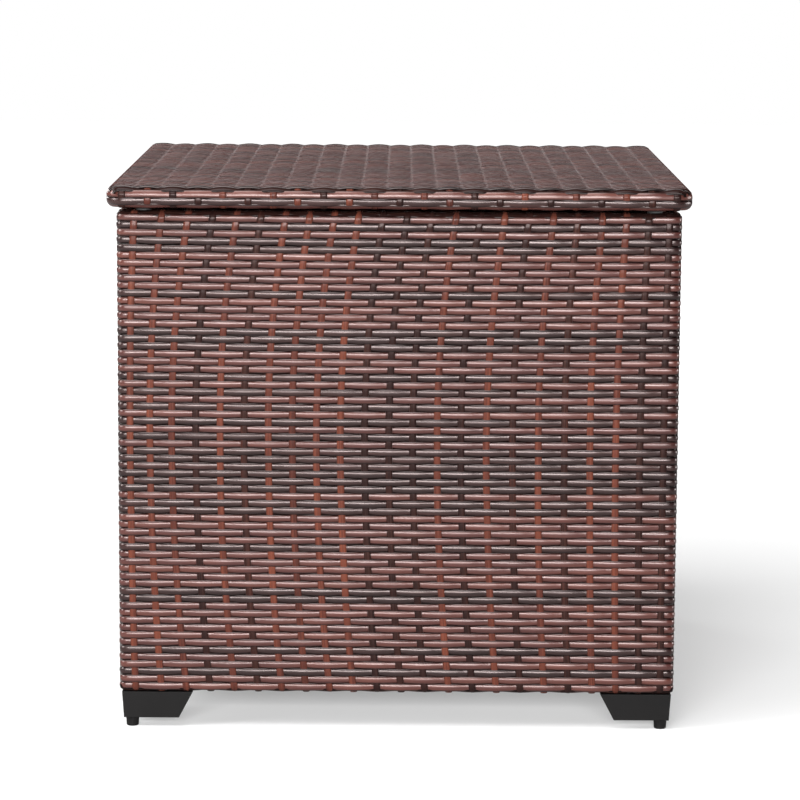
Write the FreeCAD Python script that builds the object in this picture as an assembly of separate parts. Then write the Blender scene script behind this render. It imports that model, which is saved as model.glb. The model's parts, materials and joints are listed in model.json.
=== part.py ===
"""Square lidded wicker storage box, used as a coffee or side table.

Four woven panels on welded steel tube frames bolt together at the corners. They stand on four
corner feet with levelling screws, and a woven lid opens on two rear hinges with two gas struts.

Frame: millimetres, origin on the floor under the middle of the box, +Z up, front towards -Y.
"""
import FreeCAD, Part
import math
import os
from FreeCAD import Matrix, Vector

# Driving dimensions
BODY = 580.0                 # width and depth over the woven panels
BODY_BOTTOM = 38.0           # height of the lowest row of the weave
BODY_TOP = 543.0             # height of the top row of the weave
LID = 600.0                  # width and depth of the lid
LID_BOTTOM = 546.0
LID_TOP = 568.0
LID_CORNER = 20.0            # plan radius of the lid's corners
LID_TOP_ROUND = 8.0
LID_BOTTOM_ROUND = 6.0
BODY_CORNER = 5.0            # radius of the upright corners of the body
SKIN = 3.0                   # thickness of the weave

TUBE = 20.0                  # square tube of the panels and the floor bars
LID_TUBE = LID_TOP - LID_BOTTOM - 2 * SKIN
TUBE_WALL = 1.2
PANEL = TUBE + 2 * SKIN      # thickness of a woven panel
HALF = BODY / 2
SIDE_LENGTH = BODY - 2 * PANEL
FRONT_UPRIGHTS = (-93.0, 93.0)
SIDE_UPRIGHTS = (-84.0, 84.0)
LID_BARS = (-240.0, -80.0, 80.0, 240.0)

BOLT_HEIGHTS = (92.0, 290.0, 488.0)
BOLT_RADIUS = 3.0
BOLT_HOLE = 3.3
NUT_BORE = 3.03
NUT_RADIUS = 4.5
NUT_FLANGE = 6.0
BOLT_LINE = HALF - SKIN - TUBE / 2     # centre of the corner tubes

FLOOR_BARS = (("left", -180.0), ("middle", 0.0), ("right", 180.0))
FLOOR_TAB = 2.5
FLOOR_BOARD = 5.0
FLOOR_GAP = 2.0
FLOOR_LEVEL = BODY_BOTTOM + SKIN + TUBE + FLOOR_TAB

FOOT_BOTTOM = 10.0
FOOT_INSET = 2.8             # foot set in from the face of the weave
FOOT_DRAFT = 1.7
FOOT_WING_TOP = 74.0
FOOT_WING_BOTTOM = 57.6
FOOT_THICKNESS = 25.0
FOOT_WALL = 2.5
FOOT_PLATE = 3.0
FOOT_BOSS = 9.5
FOOT_SCREW_PLACE = 243.0
PAD_TOP_RADIUS = 7.0
PAD_BOTTOM_RADIUS = 6.3
PAD_RIBS = 16
STUD_RADIUS = 4.0
STUD_BORE = 4.05
STUD_TOP = 34.5
FOOT_NUT_FLATS = 13.0
FOOT_NUT_BOTTOM = 24.0
FOOT_NUT_HEIGHT = 6.5

HINGE_Y = 294.0              # hinge line, behind the back panel and under the lid's edge
HINGE_Z = LID_BOTTOM - 4.0
HINGE_X = 180.0              # middle of each hinge from the centre line
HINGE_LENGTH = 60.0
KNUCKLES = 5
KNUCKLE_GAP = 0.4
KNUCKLE_RADIUS = 3.7
PIN_RADIUS = 2.0
PIN_CLEARANCE = 0.05
LEAF = 2.0
BODY_LEAF_DROP = 38.0
LID_LEAF_DEPTH = 24.0
LEAF_NOTCH = 4.3
HINGE_SCREWS = (-22.0, 0.0, 22.0)
BODY_SCREW_Z = BODY_TOP - 17.0
LID_SCREW_Y = 284.5

STRUT_ARM = 200.0            # both strut pivots lie this far from the hinge line
STRUT_X = 240.0
STRUT_LOWER_Y = 236.0
STRUT_UPPER_Z = LID_BOTTOM - 16.0
EYE_RADIUS = 8.0
EYE_THICKNESS = 6.0
EYE_PIN = 4.0
EYE_BORE = 4.05
SHANK_RADIUS = 5.0
SHANK_START = 6.8            # from the pivot, clear of the pin's head
CYLINDER_RADIUS = 9.0
CYLINDER_BORE = 8.0
CYLINDER_START = 14.0
CYLINDER_END = 208.0
GUIDE_LENGTH = 14.0
ROD_RADIUS = 4.0
ROD_BORE = 4.05
ROD_START = 20.0
PISTON_RADIUS = 7.9
PISTON_LENGTH = 8.0
BRACKET = 2.5

BUMPER_RADIUS = 8.0
BUMPER_PLACES = ((-262.0, -277.0), (262.0, -277.0), (-277.0, 170.0), (277.0, 170.0))

X_AXIS = Vector(1, 0, 0)
Y_AXIS = Vector(0, 1, 0)
Z_AXIS = Vector(0, 0, 1)
ORIGIN = Vector(0, 0, 0)


def block(x0, x1, y0, y1, z0, z1):
    """A box between two corners."""
    return Part.makeBox(x1 - x0, y1 - y0, z1 - z0, Vector(x0, y0, z0))


def rod(radius, start, direction, length):
    return Part.makeCylinder(radius, length, start, direction)


def union(shapes):
    """All the shapes as one, without the seams between them."""
    return shapes[0].multiFuse(shapes[1:]).removeSplitter() if len(shapes) > 1 else shapes[0]


def turned(shape, angle):
    """A copy turned about the vertical axis."""
    copy = shape.copy()
    copy.rotate(ORIGIN, Z_AXIS, angle)
    return copy


def mirrored_x(shape):
    """The left-hand copy of a right-hand piece."""
    return shape.mirror(ORIGIN, X_AXIS)


def upright_edges(shape):
    """The straight vertical edges of a shape."""
    edges = []
    for edge in shape.Edges:
        start = edge.Vertexes[0].Point
        end = edge.Vertexes[-1].Point
        if abs(start.x - end.x) < 1e-6 and abs(start.y - end.y) < 1e-6:
            edges.append(edge)
    return edges


def rounded_block(half, radius, z0, z1):
    """A square plate about the centre line with rounded upright corners."""
    plate = block(-half, half, -half, half, z0, z1)
    return plate.makeFillet(radius, upright_edges(plate))


def edges_at(shape, z):
    """The edges that lie flat at one height."""
    return [edge for edge in shape.Edges
            if abs(edge.BoundBox.ZMin - z) < 1e-6 and abs(edge.BoundBox.ZMax - z) < 1e-6]


def welded(members, wall=TUBE_WALL):
    """A frame of hollow tubes: each member is (x0, x1, y0, y1, z0, z1)."""
    outside = union([block(*member) for member in members])
    hollow = union([block(x0 + wall, x1 - wall, y0 + wall, y1 - wall, z0 + wall, z1 - wall)
                    for x0, x1, y0, y1, z0, z1 in members])
    return outside.cut(hollow)


# Panels. Each is drawn as the front panel and turned to its own side.

def panel_frame(length, uprights):
    """Top and bottom rails, an upright at each end, and the uprights between."""
    end = length / 2 - SKIN
    y0 = -HALF + SKIN
    y1 = y0 + TUBE
    z0 = BODY_BOTTOM + SKIN
    z1 = BODY_TOP - SKIN
    members = [(-end, end, y0, y1, z0, z0 + TUBE), (-end, end, y0, y1, z1 - TUBE, z1)]
    for x in (-end + TUBE / 2, end - TUBE / 2) + uprights:
        members.append((x - TUBE / 2, x + TUBE / 2, y0, y1, z0, z1))
    return welded(members)


def panel_skin(length, corner):
    """The weave: the outer face, wrapped round the four edges and back over the tubes."""
    end = length / 2
    inner = -HALF + PANEL
    skin = block(-end, end, -HALF, inner, BODY_BOTTOM, BODY_TOP)
    if corner:
        outer = [edge for edge in upright_edges(skin) if abs(edge.Vertexes[0].Point.y + HALF) < 1e-6]
        skin = skin.makeFillet(corner, outer)
    z0 = BODY_BOTTOM + SKIN
    z1 = BODY_TOP - SKIN
    room = block(-end + SKIN, end - SKIN, -HALF + SKIN, inner - SKIN, z0, z1)
    lip = SKIN + TUBE
    window = block(-end + lip, end - lip, inner - SKIN, inner, z0 + TUBE, z1 - TUBE)
    return skin.cut(room).cut(window)


def corner_holes(radius, y, length):
    """Holes along Y at the bolt heights of a front panel, on both ends."""
    return [rod(radius, Vector(side * BOLT_LINE, y, z), Y_AXIS, length)
            for side in (-1, 1) for z in BOLT_HEIGHTS]


def end_holes(radius, start, length):
    """Holes along a side panel's own length at the bolt heights, on both ends."""
    holes = []
    for side in (-1, 1):
        for z in BOLT_HEIGHTS:
            holes.append(rod(radius, Vector(side * start, -BOLT_LINE, z), X_AXIS * side, length))
    return holes


def foot_screw_places():
    """The two screws of each corner foot, one into each panel's bottom rail."""
    places = []
    for sx in (-1, 1):
        for sy in (-1, 1):
            places.append((sx * FOOT_SCREW_PLACE, sy * BOLT_LINE))
            places.append((sx * BOLT_LINE, sy * FOOT_SCREW_PLACE))
    return places


def make_panels():
    """The four frames and the four weaves."""
    long_frame = panel_frame(BODY, FRONT_UPRIGHTS)
    long_frame = long_frame.cut(union(corner_holes(NUT_RADIUS, -HALF + PANEL - SKIN - 2, 3)))
    long_skin = panel_skin(BODY, BODY_CORNER)
    long_skin = long_skin.cut(union(corner_holes(NUT_FLANGE + 0.5, -HALF + PANEL - SKIN, SKIN)))
    short_frame = panel_frame(SIDE_LENGTH, SIDE_UPRIGHTS)
    inner_face = SIDE_LENGTH / 2 - SKIN - TUBE
    short_frame = short_frame.cut(union(end_holes(BOLT_HOLE, inner_face - 1, TUBE + 2)))
    short_skin = panel_skin(SIDE_LENGTH, 0)
    short_skin = short_skin.cut(union(end_holes(NUT_FLANGE + 0.5, inner_face + TUBE, SKIN)))
    pieces = {}
    for name, angle in (("front", 0), ("back", 180)):
        pieces[name + "_frame"] = turned(long_frame, angle)
        pieces[name + "_weave"] = turned(long_skin, angle)
    for name, angle in (("right", 90), ("left", -90)):
        pieces[name + "_frame"] = turned(short_frame, angle)
        pieces[name + "_weave"] = turned(short_skin, angle)
    return pieces


def panel_bolt(side_x, side_y, z):
    """A button-head bolt through a side panel's end tube into the front or back panel."""
    head_y = side_y * (SIDE_LENGTH / 2 - SKIN - TUBE)
    way = Y_AXIS * side_y
    start = Vector(side_x * BOLT_LINE, head_y, z)
    head = rod(5.5, start - way * 3.3, way, 3.3)
    head = head.cut(rod(2.2, start - way * 3.3, way, 2.0))
    return head.fuse(rod(BOLT_RADIUS, start, way, 42.0))


def rivet_nut(side_x, side_y, z):
    """A threaded insert set in the wall of the front or back panel's end tube."""
    way = Y_AXIS * side_y
    face = Vector(side_x * BOLT_LINE, side_y * (HALF - PANEL + SKIN), z)
    flange = rod(NUT_FLANGE, face - way, way, 1.0)
    body = rod(NUT_RADIUS, face, way, 13.0)
    return flange.fuse(body).cut(rod(NUT_BORE, face - way, way, 14.0))


def make_corner_fasteners():
    places = [(x, y, z) for x in (-1, 1) for y in (-1, 1) for z in BOLT_HEIGHTS]
    return {
        "panel_bolts": Part.makeCompound([panel_bolt(*place) for place in places]),
        "rivet_nuts": Part.makeCompound([rivet_nut(*place) for place in places]),
    }


# Floor of the box

def floor_bar(x):
    """A tube from front to back with a welded tab at each end, which lies on the bottom rails."""
    end = SIDE_LENGTH / 2
    bar = welded([(x - TUBE / 2, x + TUBE / 2, -end, end, FLOOR_LEVEL - TUBE, FLOOR_LEVEL)])
    under = FLOOR_LEVEL - FLOOR_TAB
    tab = block(x - TUBE / 2, x + TUBE / 2, end - TUBE_WALL, end + PANEL - 2 * SKIN, under, FLOOR_LEVEL)
    tab = tab.cut(rod(2.3, Vector(x, BOLT_LINE, under), Z_AXIS, FLOOR_TAB))
    return union([bar, tab, tab.mirror(ORIGIN, Y_AXIS)])


def pan_screw(x, y, z, way, radius=2.25, length=14.0):
    """A pan-head screw whose head sits on the face at (x, y, z)."""
    place = Vector(x, y, z)
    head = rod(radius * 1.9, place - way * 2.4, way, 2.4)
    head = head.cut(rod(radius * 0.8, place - way * 2.4, way, 1.5))
    return head.fuse(rod(radius, place, way, length))


def make_floor():
    pieces = {}
    screws = []
    for name, x in FLOOR_BARS:
        pieces["floor_bar_" + name] = floor_bar(x)
        for side in (-1, 1):
            screws.append(pan_screw(x, side * BOLT_LINE, FLOOR_LEVEL, Z_AXIS * -1))
    pieces["floor_bar_screws"] = Part.makeCompound(screws)
    half = SIDE_LENGTH / 2 - FLOOR_GAP
    pieces["floor_board"] = rounded_block(half, 4.0, FLOOR_LEVEL, FLOOR_LEVEL + FLOOR_BOARD)
    return pieces


# Feet. Each is drawn at the front left corner and turned to its own.

def ell(offset, wing, thickness, z):
    """The plan of a corner foot, in from the corner of the weave."""
    corner = -HALF + offset
    points = [(0, 0), (wing, 0), (wing, thickness), (thickness, thickness), (thickness, wing), (0, wing)]
    corners = [Vector(corner + x, corner + y, z) for x, y in points]
    return Part.makePolygon(corners + corners[:1])


def tapered_ell(inset, z0, z1):
    """The foot's outline between two heights, made smaller all round by inset."""
    wires = []
    for z in (z0, z1):
        down = (BODY_BOTTOM - z) / (BODY_BOTTOM - FOOT_BOTTOM)
        wing = FOOT_WING_TOP + (FOOT_WING_BOTTOM - FOOT_WING_TOP) * down
        offset = FOOT_INSET + FOOT_DRAFT * down
        thickness = FOOT_THICKNESS - FOOT_DRAFT * down
        wires.append(ell(offset + inset, wing - 2 * inset, thickness - 2 * inset, z))
    return Part.makeLoft(wires, True, True)


def hexagon(flats, x, y, z, height):
    """A hexagonal prism across flats."""
    radius = flats / math.sqrt(3)
    points = []
    for i in range(7):
        angle = math.radians(60 * i)
        points.append(Vector(x + radius * math.cos(angle), y + radius * math.sin(angle), z))
    return Part.Face(Part.makePolygon(points)).extrude(Z_AXIS * height)


def corner_foot():
    """A hollow moulded shoe with a boss for the levelling screw."""
    outside = tapered_ell(0, FOOT_BOTTOM, BODY_BOTTOM)
    inside = tapered_ell(FOOT_WALL, FOOT_BOTTOM, BODY_BOTTOM - FOOT_PLATE)
    place = Vector(-BOLT_LINE, -BOLT_LINE, FOOT_BOTTOM)
    boss = rod(FOOT_BOSS, place, Z_AXIS, FOOT_NUT_BOTTOM + FOOT_NUT_HEIGHT - FOOT_BOTTOM).common(outside)
    foot = outside.cut(inside).fuse(boss).removeSplitter()
    foot = foot.cut(rod(STUD_RADIUS + 0.3, place, Z_AXIS, BODY_BOTTOM - FOOT_PLATE - FOOT_BOTTOM))
    foot = foot.cut(hexagon(FOOT_NUT_FLATS, -BOLT_LINE, -BOLT_LINE, FOOT_NUT_BOTTOM, FOOT_NUT_HEIGHT))
    for x, y in ((-FOOT_SCREW_PLACE, -BOLT_LINE), (-BOLT_LINE, -FOOT_SCREW_PLACE)):
        foot = foot.cut(rod(2.8, Vector(x, y, BODY_BOTTOM - FOOT_PLATE - 1), Z_AXIS, FOOT_PLATE + 2))
    return foot


def foot_pad():
    """The ribbed plastic pad on the end of the levelling screw."""
    place = Vector(-BOLT_LINE, -BOLT_LINE, 0)
    pad = Part.makeCone(PAD_BOTTOM_RADIUS, PAD_TOP_RADIUS, FOOT_BOTTOM, place, Z_AXIS)
    pad = pad.makeChamfer(0.7, edges_at(pad, 0))
    grooves = []
    for i in range(PAD_RIBS):
        angle = 2 * math.pi * i / PAD_RIBS
        spot = Vector(math.cos(angle), math.sin(angle), 0) * (PAD_TOP_RADIUS + 0.1)
        grooves.append(rod(0.75, place + spot + Vector(0, 0, 2.0), Z_AXIS, FOOT_BOTTOM))
    pad = pad.cut(Part.makeCompound(grooves))
    return pad.cut(rod(STUD_RADIUS, place + Vector(0, 0, 3), Z_AXIS, FOOT_BOTTOM))


def foot_stud():
    """The plain stand-in for the levelling screw's thread."""
    place = Vector(-BOLT_LINE, -BOLT_LINE, 3)
    stud = rod(STUD_RADIUS, place, Z_AXIS, STUD_TOP - 3)
    return stud.makeChamfer(0.8, edges_at(stud, STUD_TOP))


def foot_nut():
    nut = hexagon(FOOT_NUT_FLATS, -BOLT_LINE, -BOLT_LINE, FOOT_NUT_BOTTOM, FOOT_NUT_HEIGHT)
    place = Vector(-BOLT_LINE, -BOLT_LINE, FOOT_NUT_BOTTOM)
    return nut.cut(rod(STUD_BORE, place, Z_AXIS, FOOT_NUT_HEIGHT))


def make_feet():
    pieces = {}
    nuts = []
    corners = (("front_left", 0), ("front_right", 90), ("back_right", 180), ("back_left", 270))
    for name, angle in corners:
        pieces["corner_foot_" + name] = turned(corner_foot(), angle)
        pieces["foot_pad_" + name] = turned(foot_pad(), angle)
        pieces["foot_stud_" + name] = turned(foot_stud(), angle)
        nuts.append(turned(foot_nut(), angle))
    pieces["foot_nuts"] = Part.makeCompound(nuts)
    screws = [pan_screw(x, y, BODY_BOTTOM - FOOT_PLATE, Z_AXIS, 2.5, 16.0) for x, y in foot_screw_places()]
    pieces["foot_screws"] = Part.makeCompound(screws)
    return pieces


# Lid

def lid_frame():
    """A bent tube ring with bars from front to back."""
    z0 = LID_BOTTOM + SKIN
    z1 = LID_TOP - SKIN
    wall = TUBE_WALL
    outer = LID / 2 - SKIN
    inner = outer - LID_TUBE
    ring = rounded_block(outer, LID_CORNER - SKIN, z0, z1).cut(rounded_block(inner, 1.0, z0, z1))
    hollow = rounded_block(outer - wall, LID_CORNER - SKIN - wall, z0 + wall, z1 - wall)
    hollow = hollow.cut(rounded_block(inner + wall, 1.0 + wall, z0 + wall, z1 - wall))
    bars = []
    holes = []
    for x in LID_BARS:
        half = LID_TUBE / 2
        reach = outer - half
        bars.append(block(x - half, x + half, -reach, reach, z0, z1))
        holes.append(block(x - half + wall, x + half - wall, -reach, reach, z0 + wall, z1 - wall))
    return union([ring] + bars).cut(union([hollow] + holes))


def lid_skin():
    """The weave: the top, the rounded edge, and a return under the ring."""
    skin = rounded_block(LID / 2, LID_CORNER, LID_BOTTOM, LID_TOP)
    skin = skin.makeFillet(LID_TOP_ROUND, edges_at(skin, LID_TOP))
    skin = skin.makeFillet(LID_BOTTOM_ROUND, edges_at(skin, LID_BOTTOM))
    z0 = LID_BOTTOM + SKIN
    room = rounded_block(LID / 2 - SKIN, LID_CORNER - SKIN, z0, LID_TOP - SKIN)
    window = rounded_block(LID / 2 - 2 * SKIN - LID_TUBE, 1.0, LID_BOTTOM, z0)
    return skin.cut(room).cut(window)


def make_lid():
    return {"lid_frame": lid_frame(), "lid_weave": lid_skin()}


def make_bumpers():
    """Soft pads on the top edge of the body, which the lid closes on."""
    pads = []
    for x, y in BUMPER_PLACES:
        pad = rod(BUMPER_RADIUS, Vector(x, y, BODY_TOP), Z_AXIS, LID_BOTTOM - BODY_TOP - 0.1)
        pads.append(pad.makeFillet(1.0, edges_at(pad, LID_BOTTOM - 0.1)))
    return {"lid_bumpers": Part.makeCompound(pads)}


# Hinges. Each is drawn on the right and mirrored to the left.

def knuckle_spans(first):
    """The stretches along X of every second knuckle."""
    pitch = HINGE_LENGTH / KNUCKLES
    spans = []
    for i in range(first, KNUCKLES, 2):
        start = HINGE_X - HINGE_LENGTH / 2 + i * pitch
        spans.append((start + KNUCKLE_GAP / 2, start + pitch - KNUCKLE_GAP / 2))
    return spans


def barrel(spans):
    return [rod(KNUCKLE_RADIUS, Vector(x0, HINGE_Y, HINGE_Z), X_AXIS, x1 - x0) for x0, x1 in spans]


def clear_of(spans):
    """Room round the other leaf's knuckles."""
    y0 = HINGE_Y - LEAF_NOTCH
    y1 = HINGE_Y + LEAF_NOTCH
    z0 = HINGE_Z - LEAF_NOTCH
    z1 = HINGE_Z + LEAF_NOTCH
    return [block(x0 - KNUCKLE_GAP, x1 + KNUCKLE_GAP, y0, y1, z0, z1) for x0, x1 in spans]


def pin_hole():
    start = Vector(HINGE_X - HINGE_LENGTH / 2 - 1, HINGE_Y, HINGE_Z)
    return rod(PIN_RADIUS + PIN_CLEARANCE, start, X_AXIS, HINGE_LENGTH + 2)


def countersunk_hole(x, y, z, way):
    """The room for a countersunk screw."""
    place = Vector(x, y, z)
    return Part.makeCone(3.6, 1.9, 1.9, place, way).fuse(rod(1.9, place + way * 1.9, way, 12.0))


def countersunk(x, y, z, way):
    """A countersunk screw whose head is flush with the face at (x, y, z)."""
    return countersunk_hole(x, y, z, way).cut(rod(1.2, Vector(x, y, z), way, 1.0))


def body_leaf():
    """The leaf screwed to the back panel, with the outer and middle knuckles."""
    x0 = HINGE_X - HINGE_LENGTH / 2 + KNUCKLE_GAP / 2
    x1 = HINGE_X + HINGE_LENGTH / 2 - KNUCKLE_GAP / 2
    plate = block(x0, x1, HALF, HALF + LEAF, HINGE_Z - BODY_LEAF_DROP, HINGE_Z)
    leaf = union([plate] + barrel(knuckle_spans(0)))
    leaf = leaf.cut(union(clear_of(knuckle_spans(1)))).cut(pin_hole())
    for x in HINGE_SCREWS:
        leaf = leaf.cut(countersunk_hole(HINGE_X + x, HALF + LEAF, BODY_SCREW_Z, Y_AXIS * -1))
    return leaf


def lid_leaf():
    """The leaf screwed under the lid's rear tube, with the knuckles between."""
    x0 = HINGE_X - HINGE_LENGTH / 2 + KNUCKLE_GAP / 2
    x1 = HINGE_X + HINGE_LENGTH / 2 - KNUCKLE_GAP / 2
    plate = block(x0, x1, HINGE_Y - LID_LEAF_DEPTH, HINGE_Y, LID_BOTTOM - LEAF, LID_BOTTOM)
    leaf = union([plate] + barrel(knuckle_spans(1)))
    leaf = leaf.cut(union(clear_of(knuckle_spans(0)))).cut(pin_hole())
    for x in HINGE_SCREWS:
        leaf = leaf.cut(countersunk_hole(HINGE_X + x, LID_SCREW_Y, LID_BOTTOM - LEAF, Z_AXIS))
    return leaf


def hinge_pin():
    start = Vector(HINGE_X - HINGE_LENGTH / 2 - 1.2, HINGE_Y, HINGE_Z)
    pin = rod(PIN_RADIUS, start, X_AXIS, HINGE_LENGTH + 1.2)
    return pin.fuse(rod(PIN_RADIUS + 1.0, start, X_AXIS, 1.2))


def make_hinges():
    pieces = {}
    for name, side in (("right", lambda shape: shape), ("left", mirrored_x)):
        pieces["hinge_" + name + "_body_leaf"] = side(body_leaf())
        pieces["hinge_" + name + "_lid_leaf"] = side(lid_leaf())
        pieces["hinge_" + name + "_pin"] = side(hinge_pin())
    body_screws = []
    lid_screws = []
    for side in (-1, 1):
        for x in HINGE_SCREWS:
            place = side * HINGE_X + x
            body_screws.append(countersunk(place, HALF + LEAF, BODY_SCREW_Z, Y_AXIS * -1))
            lid_screws.append(countersunk(place, LID_SCREW_Y, LID_BOTTOM - LEAF, Z_AXIS))
    pieces["hinge_body_screws"] = Part.makeCompound(body_screws)
    pieces["hinge_lid_screws"] = Part.makeCompound(lid_screws)
    return pieces


# Gas struts. Each is drawn upright on its lower pivot and then laid along the line between the
# pivots. Both pivots are equally far from the hinge line, so the strut turns at half the lid's speed.

def lower_pivot():
    drop = math.sqrt(STRUT_ARM ** 2 - (HINGE_Y - STRUT_LOWER_Y) ** 2)
    return Vector(STRUT_X, STRUT_LOWER_Y, HINGE_Z - drop)


def upper_pivot():
    back = math.sqrt(STRUT_ARM ** 2 - (HINGE_Z - STRUT_UPPER_Z) ** 2)
    return Vector(STRUT_X, HINGE_Y - back, STRUT_UPPER_Z)


def strut_length():
    return (upper_pivot() - lower_pivot()).Length


def laid(shape):
    """An upright strut piece moved to its place with the lid shut."""
    line = upper_pivot() - lower_pivot()
    angle = math.degrees(math.atan2(-line.y, line.z))
    copy = shape.copy()
    copy.rotate(ORIGIN, X_AXIS, angle)
    copy.translate(lower_pivot())
    return copy


def eye(height, way):
    """An end fitting: a flat eye round the pivot with a round shank towards the strut."""
    half = EYE_THICKNESS / 2
    ring = rod(EYE_RADIUS, Vector(-half, 0, height), X_AXIS, EYE_THICKNESS)
    start = Vector(0, 0, height + way * SHANK_START)
    shank = rod(SHANK_RADIUS, start, Z_AXIS * way, CYLINDER_START - SHANK_START)
    return union([ring, shank]).cut(rod(EYE_BORE, Vector(-half, 0, height), X_AXIS, EYE_THICKNESS))


def strut_cylinder():
    """The gas cylinder, closed at the bottom."""
    tube = rod(CYLINDER_RADIUS, Vector(0, 0, CYLINDER_START), Z_AXIS, CYLINDER_END - CYLINDER_START)
    tube = tube.makeFillet(2.0, edges_at(tube, CYLINDER_START))
    bore_start = CYLINDER_START + 3
    return tube.cut(rod(CYLINDER_BORE, Vector(0, 0, bore_start), Z_AXIS, CYLINDER_END - bore_start))


def strut_guide():
    """The seal and guide bush pressed in the cylinder's open end."""
    start = Vector(0, 0, CYLINDER_END - GUIDE_LENGTH)
    bush = rod(CYLINDER_BORE, start, Z_AXIS, GUIDE_LENGTH)
    return bush.cut(rod(ROD_BORE, start, Z_AXIS, GUIDE_LENGTH))


def strut_rod():
    """The chromed rod with its piston."""
    end = strut_length() - CYLINDER_START
    stem = rod(ROD_RADIUS, Vector(0, 0, ROD_START), Z_AXIS, end - ROD_START)
    piston = rod(PISTON_RADIUS, Vector(0, 0, ROD_START), Z_AXIS, PISTON_LENGTH)
    return union([stem, piston])


def pivot_pin(place, start_x):
    """A headed pin from a bracket inwards through the strut's eye."""
    end_x = STRUT_X - EYE_THICKNESS / 2 - 1.0
    pin = rod(EYE_PIN, Vector(end_x, place.y, place.z), X_AXIS, start_x - end_x)
    head = rod(EYE_PIN + 2.0, Vector(end_x - 2.0, place.y, place.z), X_AXIS, 2.0)
    return pin.fuse(head)


def lower_screw_places():
    """The screws of a lower bracket, in the side panel's rear upright."""
    pivot = lower_pivot()
    return [(SIDE_LENGTH / 2 - SKIN - TUBE / 2, pivot.z + dz) for dz in (-16.0, 16.0)]


def lower_bracket():
    """A plate on the side panel's inner face with a pin for the strut."""
    pivot = lower_pivot()
    face = HALF - PANEL
    plate = block(face - BRACKET, face, pivot.y - 11, SIDE_LENGTH / 2 - 4, pivot.z - 25, pivot.z + 25)
    corners = [edge for edge in plate.Edges if abs(edge.BoundBox.XLength - BRACKET) < 1e-6
               and edge.BoundBox.YLength < 1e-6 and edge.BoundBox.ZLength < 1e-6]
    plate = plate.makeFillet(5.0, corners)
    for y, z in lower_screw_places():
        plate = plate.cut(rod(2.4, Vector(face - BRACKET - 1, y, z), X_AXIS, BRACKET + 2))
    return plate.fuse(pivot_pin(pivot, face - BRACKET))


def upper_screw_places():
    pivot = upper_pivot()
    return (pivot.y - 15.0, pivot.y + 15.0)


def upper_bracket():
    """An angle plate under the lid's bar with a pin for the strut."""
    pivot = upper_pivot()
    z1 = LID_BOTTOM + SKIN
    plate = block(STRUT_X - 9, STRUT_X + 14, pivot.y - 22, pivot.y + 22, z1 - BRACKET, z1)
    ear = block(STRUT_X + 14 - BRACKET, STRUT_X + 14, pivot.y - 10, pivot.y + 10, pivot.z, z1)
    tip = rod(10.0, Vector(STRUT_X + 14 - BRACKET, pivot.y, pivot.z), X_AXIS, BRACKET)
    bracket = union([plate, ear, tip])
    for y in upper_screw_places():
        bracket = bracket.cut(rod(2.4, Vector(STRUT_X, y, z1 - BRACKET - 1), Z_AXIS, BRACKET + 2))
    return bracket.fuse(pivot_pin(pivot, STRUT_X + 14 - BRACKET))


def make_struts():
    upright = {
        "lower_eye": eye(0.0, 1),
        "cylinder": strut_cylinder(),
        "guide": strut_guide(),
        "rod": strut_rod(),
        "upper_eye": eye(strut_length(), -1),
    }
    fixed = {"lower_bracket": lower_bracket(), "upper_bracket": upper_bracket()}
    pieces = {}
    for name, side in (("right", lambda shape: shape), ("left", mirrored_x)):
        for piece, shape in upright.items():
            pieces["strut_" + name + "_" + piece] = side(laid(shape))
        for piece, shape in fixed.items():
            pieces["strut_" + name + "_" + piece] = side(shape)
    base_screws = []
    lid_screws = []
    for side in (-1, 1):
        for y, z in lower_screw_places():
            base_screws.append(pan_screw(side * (HALF - PANEL - BRACKET), y, z, X_AXIS * side))
        for y in upper_screw_places():
            lid_screws.append(pan_screw(side * STRUT_X, y, LID_BOTTOM + SKIN - BRACKET, Z_AXIS))
    pieces["strut_base_screws"] = Part.makeCompound(base_screws)
    pieces["strut_lid_screws"] = Part.makeCompound(lid_screws)
    return pieces


# What each group of screws is driven into
SCREWED = {
    "foot_screws": ("front_frame", "back_frame", "left_frame", "right_frame",
                    "front_weave", "back_weave", "left_weave", "right_weave"),
    "floor_bar_screws": ("front_frame", "back_frame"),
    "hinge_body_screws": ("back_frame", "back_weave"),
    "hinge_lid_screws": ("lid_frame", "lid_weave"),
    "strut_base_screws": ("left_frame", "left_weave", "right_frame", "right_weave"),
    "strut_lid_screws": ("lid_frame",),
}


def drill(pieces):
    """Cut each screw's hole in the tubes and the weave behind it."""
    for screws, targets in SCREWED.items():
        for target in targets:
            pieces[target] = pieces[target].cut(pieces[screws])


def main():
    os.makedirs("parts", exist_ok=True)
    pieces = {}
    for make in (make_panels, make_corner_fasteners, make_floor, make_feet, make_lid,
                 make_bumpers, make_hinges, make_struts):
        pieces.update(make())
    drill(pieces)
    for name, shape in pieces.items():
        shape.exportStep("parts/" + name + ".step")
        print(name, len(shape.Solids), "solids", round(shape.Volume / 1000, 2), "cm3", shape.isValid())


main()
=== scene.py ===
"""The looks of the lidded wicker storage table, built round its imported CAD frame, in metres."""
import json
import math

import bpy
import numpy as np
from mathutils import Matrix, Vector


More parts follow.
